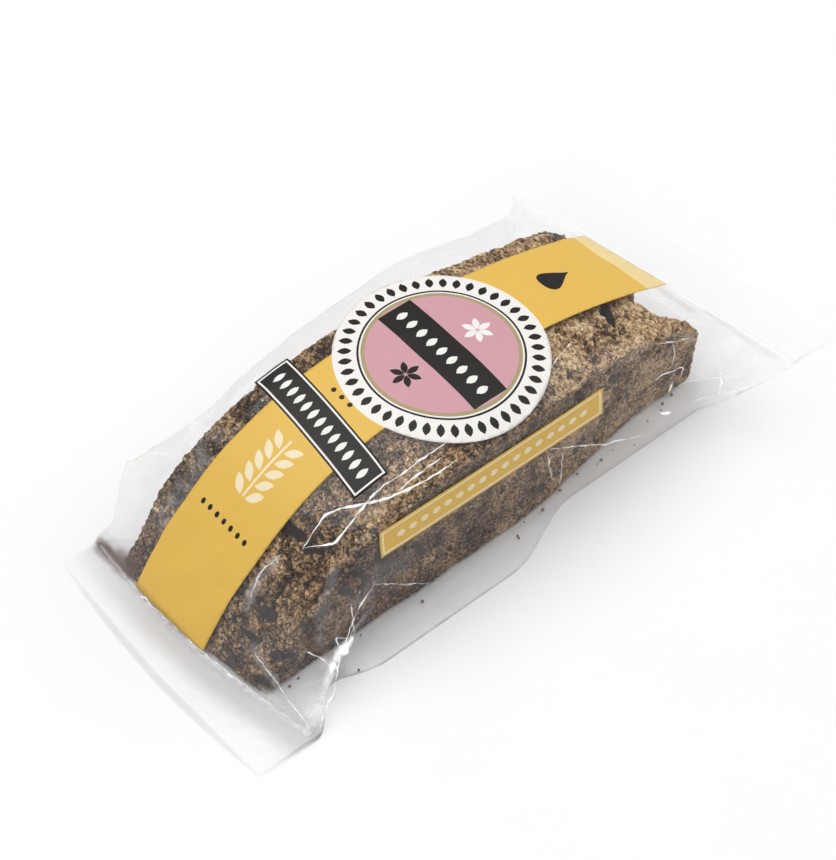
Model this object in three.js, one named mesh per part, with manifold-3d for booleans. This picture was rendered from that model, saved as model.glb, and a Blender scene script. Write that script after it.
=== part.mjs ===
// Two chocolate biscotti in a clear flow-wrap pack that lies on a table, with its printed labels.
// X runs from the near seal to the far seal, -Y is the front long side and Z is up, in millimetres.
// The clear film and what fills it are one closed solid; the labels are thin skins on it.
import * as THREE from "three";
import { mergeVertices } from "three/addons/utils/BufferGeometryUtils.js";
import Module from "manifold-3d";

const { lerp, smoothstep, clamp } = THREE.MathUtils;

// Seals and fins. The near seal lies on the table, the far one stands at half the height.
const nearSealX = -56.8;
const nearSealBow = 0.0028; // it bulges outward by this much per mm squared
const nearSealBowY = 12;
const nearSeal = { front: -29.6, rear: 28.1 };
const farSealX = 51.6;
const farSealZ = 18;
const farSealSkew = -0.19; // its rear end lies nearer to the pack's middle
const farSeal = { front: -31.7, rear: 29.3 };
const sealThickness = 0.8;
const finDepth = 11;

// Film over the two biscuits, which stand on their flat bottoms side by side.
const crownHeight = 30.5;
const nearRamp = 52; // length over which the film climbs the near ends of the crusts
const farRamp = 50;
const rampPower = { near: 2.6, far: 2 };
const shoulderDrop = 0.9; // height of the side edges as a share of the crown
const front = { shoulder: -16.6, foot: -18.6, nearShoulder: -24 };
const rear = { shoulder: 23.6, foot: 21.5, hollow: 1.6 };
const blends = { frontTop: [-46, 38], rearTop: [-48, 40], frontFoot: [-44, 44], rearFoot: [-46, 42] };
const topEdge = { rounded: 3.2, peaked: 8 }; // how late the top turns down or up to its side edges
const rearSwell = { out: 3, at: 15, reach: 30 }; // slack film behind the rear biscuit
const skirt = { out: 6.2, start: -56, fullFrom: -36, fullTo: -8, end: 13 }; // flat on the table

// Gussets: the folded-in corners between the seals and the biscuits.
const frontEar = { length: 26, y: -17.4, z: 16.8 }; // its ridge climbs from the seal's end to here
const rearGusset = { length: 7, height: 23 };
const farGusset = 7;
const farFront = { from: 30, to: 44, ridge: 0.6 }; // where the front wall turns into the far gusset
const footFold = { from: -50, to: -38, inset: 0.3, lip: 0.1, share: 0.3 }; // at the biscuit's foot
const endWall = { depth: 1.2, middle: 2, flatTo: 15.5, foldedFrom: 24 }; // under the far seal
const endFlat = 6; // length over which a section goes from a flat seal to a full one

// Labels: a band with a round badge and a title plate across it, and a strip on the front wall.
const labelGap = 0.35;
const labelThickness = 0.4;
const band = { y: 6, width: 18.6 }; // it runs from seal to seal
const badge = { x: 3.4, y: 3.1, radius: 19.2 };
const plate = { x: -22, y: 5.4, width: 7, length: 30.6, turn: -0.08 };
const strip = { x: -1.9, z: 20.7, length: 50.8, width: 6.4, turn: -0.02 };

// Fineness of the loft.
const stations = 44;
const frontSteps = [1, 2, 2, 3]; // between the corners of the front wall
const stripStart = 4; // the first point of the front wall that the strip's skin covers
const rearSteps = 7;
const topSteps = 20;
const bottomSteps = 12;
const crowding = { across: 0.6, along: 0.8 }; // how far points crowd towards edges and seals
const skinMargin = 2; // stations between a seal and the end of the print

// A value that goes from the near seal's to the body's, and from there to the far seal's.
function alongPack(x, near, body, far, [nearEnd, farStart]) {
  const start = lerp(near, body, smoothstep(x, nearSealX, nearEnd));
  return lerp(start, far, smoothstep(x, farStart, farSealX));
}

function swellAt(x) {
  return rearSwell.out * Math.exp(-(((x - rearSwell.at) / rearSwell.reach) ** 2));
}

function skirtAt(x) {
  const opened = smoothstep(x, skirt.start, skirt.fullFrom);
  return skirt.out * opened * (1 - smoothstep(x, skirt.fullTo, skirt.end));
}

// Height of the film along the middle of the pack.
function crownAt(x) {
  const climb = 1 - (1 - clamp((x - nearSealX) / nearRamp, 0, 1)) ** rampPower.near;
  const fall = (1 - clamp((farSealX - x) / farRamp, 0, 1)) ** rampPower.far;
  return lerp(sealThickness, crownHeight, climb) - (crownHeight - farSealZ) * fall;
}

// Heights and side edges of the section at a place along the pack.
function sectionAt(x) {
  const crown = crownAt(x);
  const underSeal = farSealZ - sealThickness;
  const rearClimb = smoothstep(x, nearSealX, nearSealX + rearGusset.length);
  const full = smoothstep(Math.min(x - nearSealX, farSealX - x), 0, endFlat);
  const rearHigh = Math.max(crown * shoulderDrop, rearGusset.height * rearClimb);
  const rearZ = lerp(sealThickness, rearHigh, rearClimb);
  return {
    x,
    crown,
    full,
    cornerZ: underSeal * smoothstep(x, farSealX - farGusset, farSealX),
    middleZ: underSeal * smoothstep(x, farSealX - endWall.depth, farSealX),
    frontZ: lerp(crown, crown * shoulderDrop, full),
    rearZ: lerp(crown, rearZ, full),
    frontY: alongPack(x, front.nearShoulder, front.shoulder, farSeal.front, blends.frontTop),
    rearY: alongPack(x, nearSeal.rear, rear.shoulder, farSeal.rear, blends.rearTop) + swellAt(x),
    frontFoot: alongPack(x, nearSeal.front, front.foot, farSeal.front, blends.frontFoot) - skirtAt(x),
    rearFoot: alongPack(x, nearSeal.rear, rear.foot, farSeal.rear, blends.rearFoot),
  };
}

function between(start, end, share) {
  return start.map((value, i) => lerp(value, end[i], share));
}

// Corners of the front wall, from the table up: the skirt's edge, the fold where the film meets the
// biscuit's foot, the ridge of the near corner's ear, and the shoulder.
function frontCorners(s) {
  const foot = [s.frontFoot, s.cornerZ];
  const shoulder = [s.frontY, s.frontZ];
  const along = clamp((s.x - nearSealX) / frontEar.length, 0, 1);
  const ear = between([nearSeal.front, sealThickness], [frontEar.y, frontEar.z], along);
  const towardsFar = smoothstep(s.x, farFront.from, farFront.to);
  const ridge = between(ear, between(foot, shoulder, farFront.ridge), towardsFar);
  const hugging = smoothstep(s.x, footFold.from, footFold.to) * (1 - towardsFar);
  const atFoot = [front.foot + footFold.inset, sealThickness];
  const fold = between(between(foot, ridge, footFold.share), atFoot, hugging);
  const lip = [s.frontFoot + footFold.lip, s.cornerZ + sealThickness * s.full];
  return [foot, lip, fold, ridge, shoulder];
}

function frontWall(s) {
  const corners = frontCorners(s);
  return frontSteps.flatMap((steps, c) => {
    return Array.from({ length: steps }, (_, i) => between(corners[c], corners[c + 1], i / steps));
  });
}

// The top is flat over the biscuits and rounds down to its edges, or up to a gusset's peak.
function topSheet(s) {
  const middle = (s.frontY + s.rearY) / 2;
  const half = (s.rearY - s.frontY) / 2;
  return Array.from({ length: topSteps + 1 }, (_, i) => {
    const even = (2 * i) / topSteps - 1;
    const across = lerp(even, -Math.cos((Math.PI * i) / topSteps), crowding.across);
    const edge = across < 0 ? s.frontZ : s.rearZ;
    const sharpness = edge > s.crown ? topEdge.peaked : topEdge.rounded;
    return [middle + half * across, lerp(s.crown, edge, Math.abs(across) ** sharpness)];
  });
}

// The film hangs from the rear ridge in towards the foot of the rear biscuit.
function rearWall(s) {
  return Array.from({ length: rearSteps }, (_, i) => {
    const t = (i + 1) / rearSteps;
    return [lerp(s.rearFoot, s.rearY, (1 - t) ** rear.hollow), lerp(s.rearZ, s.cornerZ, t)];
  });
}

// Flat on the table; at the far end a wall in the middle, and folded-in corners beside it.
function underside(s) {
  return Array.from({ length: bottomSteps - 1 }, (_, i) => {
    const y = lerp(s.rearFoot, s.frontFoot, (i + 1) / bottomSteps);
    const folded = smoothstep(Math.abs(y - endWall.middle), endWall.flatTo, endWall.foldedFrom);
    return [y, lerp(s.middleZ, s.cornerZ, folded)];
  });
}

// One ring of film. Its points lean with the seals, which are bowed and skewed in plan.
function ringAt(share) {
  const s = sectionAt(lerp(nearSealX, farSealX, share));
  const outline = [...frontWall(s), ...topSheet(s), ...rearWall(s), ...underside(s)];
  return outline.map(([y, z]) => {
    const near = nearSealX + nearSealBow * (y - nearSealBowY) ** 2;
    const far = farSealX + farSealSkew * y;
    return new THREE.Vector3(lerp(near, far, share), y, z);
  });
}

// Stations lie closer together towards the two seals.
function stationShare(i) {
  const even = i / stations;
  return lerp(even, (1 - Math.cos(Math.PI * even)) / 2, crowding.along);
}

// Closed surface through rings of equal length, with a fan of triangles on each end.
function loft(rings) {
  const count = rings[0].length;
  const points = rings.flat();
  const index = [];
  for (let r = 0; r < rings.length - 1; r += 1) {
    for (let k = 0; k < count; k += 1) {
      const a = r * count + k;
      const b = r * count + ((k + 1) % count);
      index.push(a, b + count, b, a, a + count, b + count);
    }
  }
  for (const [ring, isLast] of [[0, false], [rings.length - 1, true]]) {
    const sum = rings[ring].reduce((total, p) => total.add(p), new THREE.Vector3());
    const middle = points.push(sum.divideScalar(count)) - 1;
    for (let k = 0; k < count; k += 1) {
      const a = ring * count + k;
      const b = ring * count + ((k + 1) % count);
      index.push(middle, ...(isLast ? [b, a] : [a, b]));
    }
  }
  return new THREE.BufferGeometry().setFromPoints(points).setIndex(index);
}

const bodyRings = Array.from({ length: stations + 1 }, (_, i) => ringAt(stationShare(i)));

// The film with its two flat fins, each its seal's own ring moved out.
function filmGeometry() {
  const movedBy = (ring, depth) => ring.map((p) => new THREE.Vector3(p.x + depth, p.y, p.z));
  const nearFin = movedBy(bodyRings[0], -finDepth);
  const farFin = movedBy(bodyRings[stations], finDepth);
  return loft([nearFin, ...bodyRings, farFin]);
}

const wasm = await Module();
wasm.setup();

function toManifold(geometry) {
  const bare = geometry.clone();
  bare.deleteAttribute("normal");
  bare.deleteAttribute("uv");
  const merged = mergeVertices(bare);
  return new wasm.Manifold(
    new wasm.Mesh({
      numProp: 3,
      vertProperties: new Float32Array(merged.attributes.position.array),
      triVerts: new Uint32Array(merged.index.array),
    }),
  );
}

function fromManifold(solid) {
  const mesh = solid.getMesh();
  const geometry = new THREE.BufferGeometry();
  const position = new THREE.Float32BufferAttribute(mesh.vertProperties, mesh.numProp);
  geometry.setAttribute("position", position);
  return geometry.setIndex(new THREE.BufferAttribute(new Uint32Array(mesh.triVerts), 1));
}

// A thin skin that stands off the film between two places of its rings.
function skinOver(film, firstPoint, lastPoint) {
  film.computeVertexNormals();
  const { position, normal } = film.attributes;
  const count = bodyRings[0].length;
  const offPoint = (at, distance) => {
    const outward = new THREE.Vector3().fromBufferAttribute(normal, at);
    return new THREE.Vector3().fromBufferAttribute(position, at).addScaledVector(outward, distance);
  };
  const rings = [];
  for (let r = skinMargin; r <= stations - skinMargin; r += 1) {
    const places = [];
    for (let k = firstPoint; k <= lastPoint; k += 1) places.push((r + 1) * count + k);
    const outer = places.map((at) => offPoint(at, labelGap + labelThickness));
    const inner = places.map((at) => offPoint(at, labelGap));
    rings.push([...outer, ...inner.reverse()]);
  }
  return toManifold(loft(rings));
}

function rectangle(width, height) {
  const corners = [[-1, -1], [1, -1], [1, 1], [-1, 1]];
  return new THREE.Shape(corners.map(([x, y]) => new THREE.Vector2((x * width) / 2, (y * height) / 2)));
}

// A label's outline drawn out into a cutter longer than the pack is high or deep.
function cutter(shape) {
  const depth = 2 * crownHeight;
  return new THREE.ExtrudeGeometry(shape, { depth, bevelEnabled: false, curveSegments: 40 });
}

function frontLabelGeometry(skin) {
  const bandCut = cutter(rectangle(2 * (farSealX - nearSealX), band.width));
  bandCut.translate(0, band.y, 0);
  const badgeCut = cutter(new THREE.Shape().absarc(badge.x, badge.y, badge.radius, 0, 2 * Math.PI));
  const plateCut = cutter(rectangle(plate.width, plate.length));
  plateCut.rotateZ(plate.turn).translate(plate.x, plate.y, 0);
  const outline = toManifold(bandCut).add(toManifold(badgeCut)).add(toManifold(plateCut));
  return fromManifold(skin.intersect(outline));
}

function sideLabelGeometry(skin) {
  const stripCut = cutter(rectangle(strip.length, strip.width));
  stripCut.rotateZ(strip.turn).rotateX(Math.PI / 2).translate(strip.x, 0, strip.z);
  return fromManifold(skin.intersect(toManifold(stripCut)));
}

const film = filmGeometry();
const topStart = frontSteps.reduce((total, steps) => total + steps, 0);
const topEnd = topStart + topSteps;
const filmFinish = new THREE.MeshStandardMaterial({ color: 0x6e5c4c, roughness: 0.2, metalness: 0 });
const printFinish = new THREE.MeshStandardMaterial({ color: 0xe3b95c, roughness: 0.5, metalness: 0 });
const pieces = [
  ["film_bag", film, filmFinish],
  ["front_label", frontLabelGeometry(skinOver(film, topStart, topEnd)), printFinish],
  ["side_label", sideLabelGeometry(skinOver(film, stripStart, topStart)), printFinish.clone()],
];

// The origin is on the table, under the middle of the pack's own box.
film.computeBoundingBox();
const centre = film.boundingBox.getCenter(new THREE.Vector3());
const pack = new THREE.Group();
for (const [name, geometry, material] of pieces) {
  geometry.translate(-centre.x, -centre.y, 0);
  geometry.computeVertexNormals();
  const mesh = new THREE.Mesh(geometry, material);
  mesh.name = name;
  pack.add(mesh);
}

export default pack;
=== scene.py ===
import math
import random

import bpy
import numpy as np
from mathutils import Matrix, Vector, geometry, noise
from mathutils.bvhtree import BVHTree


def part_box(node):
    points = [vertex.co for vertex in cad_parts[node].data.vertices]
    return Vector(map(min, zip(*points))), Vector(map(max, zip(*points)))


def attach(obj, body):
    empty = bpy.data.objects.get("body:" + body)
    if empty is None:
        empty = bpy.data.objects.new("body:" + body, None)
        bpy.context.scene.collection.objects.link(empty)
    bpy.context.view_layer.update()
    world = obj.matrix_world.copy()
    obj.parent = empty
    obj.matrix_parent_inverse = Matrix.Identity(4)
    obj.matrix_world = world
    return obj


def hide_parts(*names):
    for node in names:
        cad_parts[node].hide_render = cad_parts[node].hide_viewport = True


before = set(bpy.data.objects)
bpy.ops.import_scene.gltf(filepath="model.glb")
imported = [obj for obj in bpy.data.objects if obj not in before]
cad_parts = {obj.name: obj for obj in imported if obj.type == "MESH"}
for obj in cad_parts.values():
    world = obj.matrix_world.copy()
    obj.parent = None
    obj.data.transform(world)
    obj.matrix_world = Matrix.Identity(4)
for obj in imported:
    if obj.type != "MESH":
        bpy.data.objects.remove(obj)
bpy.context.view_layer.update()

# Lengths are millimetres in the pack's own layout: X runs from the near seal to the far one, -Y is
# the front long side, Z is up. toPart turns them into metres in the part's frame.
millimetre = 0.001

view = {
    "lookAt": (4.19, 11.86, 0),
    "azimuth": -40,  # degrees round from looking along +Y
    "elevation": 51.5,
    "distance": 560,
    "lens": 127.67,
}

studio = {  # metres and watts
    "surroundings": 0.29,  # even light from the white room
    "overhead": {"at": (-0.24, 0.45, 1.45), "size": 1.5, "power": 18.5},
    "key": {"at": (1.3, -0.3, 1.0), "size": 1.2, "power": 8.5},  # from the far end
    "fill": {"at": (-1.1, -0.7, 1.0), "size": 1.1, "power": 3.6},
    "floorWidth": 4,
}


def mix(start, end, share):
    return start + (end - start) * share


def ease(value, low, high):
    share = np.clip((value - low) / (high - low), 0, 1)
    return share * share * (3 - 2 * share)


def paint(red, green, blue):  # screen colour to linear light
    levels = [c / 255 for c in (red, green, blue)]
    return (*[c / 12.92 if c < 0.04 else ((c + 0.055) / 1.055) ** 2.4 for c in levels], 1)


# A shader socket that takes part in sums.
class Wire:
    def __init__(self, finish, socket):
        self.finish = finish
        self.socket = socket

    def join(self, operation, first, second):
        return self.finish.add("Math", {"operation": operation}, {0: first, 1: second})

    def __add__(self, other):
        return self.join("ADD", self, other)

    __radd__ = __add__

    def __sub__(self, other):
        return self.join("SUBTRACT", self, other)

    def __rsub__(self, other):
        return self.join("SUBTRACT", other, self)

    def __mul__(self, other):
        return self.join("MULTIPLY", self, other)

    __rmul__ = __mul__

    def __truediv__(self, other):
        return self.join("DIVIDE", self, other)

    def __pow__(self, other):
        return self.join("POWER", self, other)


class Finish:
    def __init__(self, name):
        self.material = bpy.data.materials.new(name)
        self.material.use_nodes = True
        self.tree = self.material.node_tree
        self.tree.nodes.clear()
        self.place = self.add("TexCoord", output="Object")

    def find(self, sockets, key):
        if isinstance(key, int):
            return sockets[key]
        return next(s for s in sockets if s.name == key and s.enabled)

    def add(self, kind, settings=None, inputs=None, output=0):
        node = self.tree.nodes.new("ShaderNode" + kind)
        for key, value in (settings or {}).items():
            if key == "stops":
                self.setStops(node.color_ramp, value)
            else:
                setattr(node, key, value)
        for key, value in (inputs or {}).items():
            socket = self.find(node.inputs, key)
            if isinstance(value, Wire):
                self.tree.links.new(value.socket, socket)
            else:
                socket.default_value = value
        return Wire(self, self.find(node.outputs, output))

    def setStops(self, ramp, stops):
        while len(ramp.elements) < len(stops):
            ramp.elements.new(1)
        for element, (position, colour) in zip(ramp.elements, stops):
            element.position = position
            element.color = paint(*colour)

    def noise(self, size, detail=2, roughness=0.5):
        inputs = {"Vector": self.place, "Scale": 1 / (size * millimetre)}
        return self.add("TexNoise", {}, inputs | {"Detail": detail, "Roughness": roughness})

    def cells(self, size, channel):  # one random value for each cell
        inputs = {"Vector": self.place, "Scale": 1 / (size * millimetre)}
        colour = self.add("TexVoronoi", {}, inputs, "Color")
        return self.add("SeparateColor", {}, {"Color": colour}, channel)

    def ramp(self, value, stops):
        return self.add("ValToRGB", {"stops": stops}, {0: value}, "Color")

    def step(self, value, low, high):  # 0 below low, 1 above high
        inputs = {"Value": value, "From Min": low, "From Max": high}
        return self.add("MapRange", {"interpolation_type": "SMOOTHSTEP"}, inputs, "Result")

    def blend(self, first, second, share):
        inputs = {"Factor": share, "A": first, "B": second}
        return self.add("Mix", {"data_type": "RGBA"}, inputs, "Result")

    def kept(self, name):  # a value that is kept on the mesh's points
        return self.add("Attribute", {"attribute_name": name}, output="Fac")

    def bump(self, height, strength, depth):
        inputs = {"Height": height, "Strength": strength, "Distance": depth * millimetre}
        return self.add("Bump", {}, inputs, "Normal")

    def surface(self, inputs):
        shader = self.add("BsdfPrincipled", {}, inputs)
        output = self.tree.nodes.new("ShaderNodeOutputMaterial")
        self.tree.links.new(shader.socket, output.inputs["Surface"])
        return self.material


# The clear film's form, as sections across the pack from seal to seal.
bag = {
    "sealX": (-56.8, 51.6),  # near, far
    "nearSealBow": (0.0028, 12),  # bulge per mm squared, from this Y
    "farSealZ": 18,
    "farSealSkew": -0.19,
    "sealThickness": 0.8,
    "finDepth": 11,
    "fullAfter": 6,  # distance from a seal to the rounded sections
    "crown": 30.5,
    "nearRamp": (52, 2.6),  # length, curve
    "farRamp": (50, 2),
    "shoulderDrop": 0.9,
    "archEdge": (8, 3.2),  # how square the arch is: with its edge above its middle, below
    "middleY": 2,
    # Y at the near seal, along the body and at the far seal, and the X from and up to which the
    # middle one holds
    "frontShoulder": (-24, -16.6, -31.7, -46, 38),
    "frontFoot": (-29.6, -18.6, -31.7, -44, 44),
    "rearShoulder": (28.1, 23.6, 29.3, -48, 40),
    "rearFoot": (28.1, 21.5, 29.3, -46, 42),
    "footFold": (0.3, 0.5),  # behind the foot, above the table
    "lip": (0.1, 0.35),
    "hugging": (-50, -38),  # where the front wall closes up to the slice
    "farGusset": (30, 44),  # and opens out again
    "skirt": 6.2,  # flap that lies on the table in front
    "skirtEnds": (-56, -36, -8, 13),  # starts, full from, full to, gone
    "rearRidge": (23, 7),  # least height of the rear shoulder, reached so far in
    "rearSwell": (3, 15, 30),  # out, at, reach
    "rearHollow": 1.6,  # how far in it hangs below the rear ridge
    "earLength": 26,
    "earEnd": (-17.4, 16.8),  # Y and Z
    "underEnd": (17.2, 7, 1.2),  # raised far end: height, length at the sides, in the middle
    "underSides": (15.5, 24),  # from the middle line
    "offTable": 0.04,
    "stations": 280,
    "points": {"front": (2, 18, 22, 16), "top": 116, "rear": 46, "under": 42},
}
nearX, farX = bag["sealX"]
offTable = bag["offTable"]


def swellAt(x):
    out, at, reach = bag["rearSwell"]
    return out * np.exp(-(((x - at) / reach) ** 2))


def alongPack(x, line):
    near, body, far, fullFrom, fullTo = bag[line]
    return mix(mix(near, body, ease(x, nearX, fullFrom)), far, ease(x, fullTo, farX))


def crownAt(x):
    length, curve = bag["nearRamp"]
    climb = 1 - (1 - np.clip((x - nearX) / length, 0, 1)) ** curve
    length, curve = bag["farRamp"]
    fall = (1 - np.clip((farX - x) / length, 0, 1)) ** curve
    return mix(bag["sealThickness"], bag["crown"], climb) - (bag["crown"] - bag["farSealZ"]) * fall


# Sections lean with the seals, which are bowed and skewed in plan.
def sealLines(y):
    bulge, middle = bag["nearSealBow"]
    near = nearX + bulge * (y - middle) ** 2
    return near, farX + bag["farSealSkew"] * y


def leaned(x, y):
    near, far = sealLines(y)
    return mix(near, far, (x - nearX) / (farX - nearX))


def unleaned(x, y):
    near, far = sealLines(y)
    return mix(nearX, farX, (x - near) / (far - near))


# Rounds off a chain of corners and leaves its two ends where they are.
def softened(chain, rounds):
    for _ in range(rounds):
        inner = (chain[:-2] + 2 * chain[1:-1] + chain[2:]) / 4
        chain = np.vstack([chain[:1], inner, chain[-1:]])
    return chain


def chainThrough(corners, counts):
    runs = []
    for start, end, count in zip(corners[:-1], corners[1:], counts):
        share = np.linspace(0, 1, count, endpoint=False)[:, None]
        runs.append(mix(np.array(start), np.array(end), share))
    return np.vstack([*runs, [corners[-1]]])


def pathThrough(corners, step=0.35, rounds=14):
    corners = np.array(corners, float)
    gaps = np.linalg.norm(np.diff(corners, axis=0), axis=1)
    return softened(chainThrough(corners, [max(2, round(gap / step)) for gap in gaps]), rounds)


# How strongly each point is marked by the runs, each a strength, a radius and its corners.
def alongRuns(points, runs):
    amount = np.zeros(len(points))
    for strength, radius, corners in runs:
        path = pathThrough(corners)
        close = np.all((points > path.min(0) - radius) & (points < path.max(0) + radius), axis=1)
        gaps = np.linalg.norm(points[close, None] - path[None], axis=2).min(1)
        amount[close] = np.maximum(amount[close], strength * (1 - ease(gaps, 0.3 * radius, radius)))
    return amount


def fullness(x):  # 0 at the two seals, 1 a little way in
    return ease(min(x - nearX, farX - x), 0, bag["fullAfter"])


# The film's line over the slices, from shoulder to shoulder.
def topLine(x):
    crown, full = crownAt(x), fullness(x)
    frontY = alongPack(x, "frontShoulder")
    frontZ = mix(crown, crown * bag["shoulderDrop"], full)
    rearY = alongPack(x, "rearShoulder") + swellAt(x)
    ridgeZ, ridgeFrom = bag["rearRidge"]
    climb = ease(x - nearX, 0, ridgeFrom)
    rearZ = mix(bag["sealThickness"], max(crown * bag["shoulderDrop"], ridgeZ * climb), climb)
    rearZ = mix(crown, rearZ, full)
    even = np.linspace(-1, 1, bag["points"]["top"])
    across = mix(even, np.sin(even * np.pi / 2), 0.6)  # closer together at the shoulders
    middle, half = (frontY + rearY) / 2, (rearY - frontY) / 2
    edge = np.where(across < 0, frontZ, rearZ)
    squareness = np.where(edge > crown, *bag["archEdge"])
    return np.column_stack([middle + half * across, mix(crown, edge, np.abs(across) ** squareness)])


def footAt(x):  # front edge of the film on the table
    foot = alongPack(x, "frontFoot")
    starts, fullFrom, fullTo, gone = bag["skirtEnds"]
    return foot - bag["skirt"] * ease(x, starts, fullFrom) * (1 - ease(x, fullTo, gone))


def sectionOf(x):
    top = topLine(x)
    shoulder, (rearY, rearZ) = top[0], top[-1]
    endZ, sideLength, middleLength = bag["underEnd"]
    sideZ = endZ * ease(x, farX - sideLength, farX)
    middleZ = endZ * ease(x, farX - middleLength, farX)
    foot = np.array([footAt(x), sideZ + offTable])
    nearFootY, bodyFootY, *_ = bag["frontFoot"]
    earTip = np.array([nearFootY, bag["sealThickness"]])
    along = np.clip((x - nearX) / bag["earLength"], 0, 1)
    ear = mix(earTip, np.array(bag["earEnd"]), along)
    towardsFar = ease(x, *bag["farGusset"])
    ridge = mix(ear, mix(foot, shoulder, 0.6), towardsFar)
    behind, above = bag["footFold"]
    hugging = ease(x, *bag["hugging"]) * (1 - towardsFar)
    fold = mix(mix(foot, ridge, 0.3), np.array([bodyFootY + behind, above]), hugging)
    lip = foot + (bag["lip"][0], bag["lip"][1] * fullness(x))
    front = chainThrough([foot, lip, fold, ridge, shoulder], bag["points"]["front"])

    down = np.linspace(0, 1, bag["points"]["rear"])
    rearFoot = alongPack(x, "rearFoot")
    inward = (1 - down) ** bag["rearHollow"]
    rear = np.column_stack([mix(rearFoot, rearY, inward), mix(rearZ, sideZ, down)])

    underY = mix(rearFoot, foot[0], np.linspace(0, 1, bag["points"]["under"]))
    outside = ease(np.abs(underY - bag["middleY"]), *bag["underSides"])
    bottom = np.column_stack([underY, mix(middleZ, sideZ, outside) + offTable])
    upper = softened(np.vstack([front[:-1], top, rear[1:]]), 2)
    return np.vstack([upper, bottom[1:-1]])


def filmGrid():
    even = np.linspace(0, 1, bag["stations"] + 1)
    share = mix(even, (1 - np.cos(np.pi * even)) / 2, 0.55)  # closer together at the seals
    rings = []
    for x in mix(nearX, farX, share):
        section = sectionOf(x)
        rings.append(np.column_stack([leaned(x, section[:, 0]), section]))
    return np.array(rings)


smoothFilm = filmGrid()
fillLow = np.array(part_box("film_bag")[0]) / millimetre
fillHigh = np.array(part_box("film_bag")[1]) / millimetre
nearTip = smoothFilm[..., 0].min() - bag["finDepth"]
farTip = smoothFilm[..., 0].max() + bag["finDepth"]
sideMiddle = (smoothFilm[..., 1].min() + smoothFilm[..., 1].max()) / 2
shiftX = (fillLow[0] + fillHigh[0] - nearTip - farTip) / 2
layoutToPart = np.array([shiftX, (fillLow[1] + fillHigh[1]) / 2 - sideMiddle, 0])
print("layout to part frame:", np.round(layoutToPart, 2), "mm")


def toPart(points):
    return (np.asarray(points, float) + layoutToPart) * millimetre


def placed(name, data):
    thing = bpy.data.objects.new(name, data)
    bpy.context.scene.collection.objects.link(thing)
    return thing


def meshPiece(name, points, faces, finishes, faceInk=None, smooth=True):
    mesh = bpy.data.meshes.new(name)
    mesh.from_pydata(toPart(points).tolist(), [], faces)
    for finish in finishes:
        mesh.materials.append(finish)
    if faceInk is not None:
        mesh.polygons.foreach_set("material_index", faceInk)
    mesh.polygons.foreach_set("use_smooth", [smooth] * len(mesh.polygons))
    mesh.update()
    return placed(name, mesh)


def keepOnPoints(piece, name, values):
    layer = piece.data.attributes.new(name, "FLOAT", "POINT")
    layer.data.foreach_set("value", np.asarray(values, np.float32))


def noiseAt(points, size, shift):
    return np.array([noise.noise(Vector(p)) for p in points / size + shift])


def noiseVectors(points, size, shift):
    return np.column_stack([noiseAt(points, size, shift + k) for k in range(3)])


def treeOf(points, faces):
    return BVHTree.FromPolygons([tuple(p) for p in points], faces)


def modified(piece, kind, **settings):
    modifier = piece.modifiers.new(kind, kind)
    for key, value in settings.items():
        setattr(modifier, key, value)
    graph = bpy.context.evaluated_depsgraph_get()
    mesh = bpy.data.meshes.new_from_object(piece.evaluated_get(graph))
    old = piece.data
    piece.modifiers.clear()
    piece.data = mesh
    bpy.data.meshes.remove(old)


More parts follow.
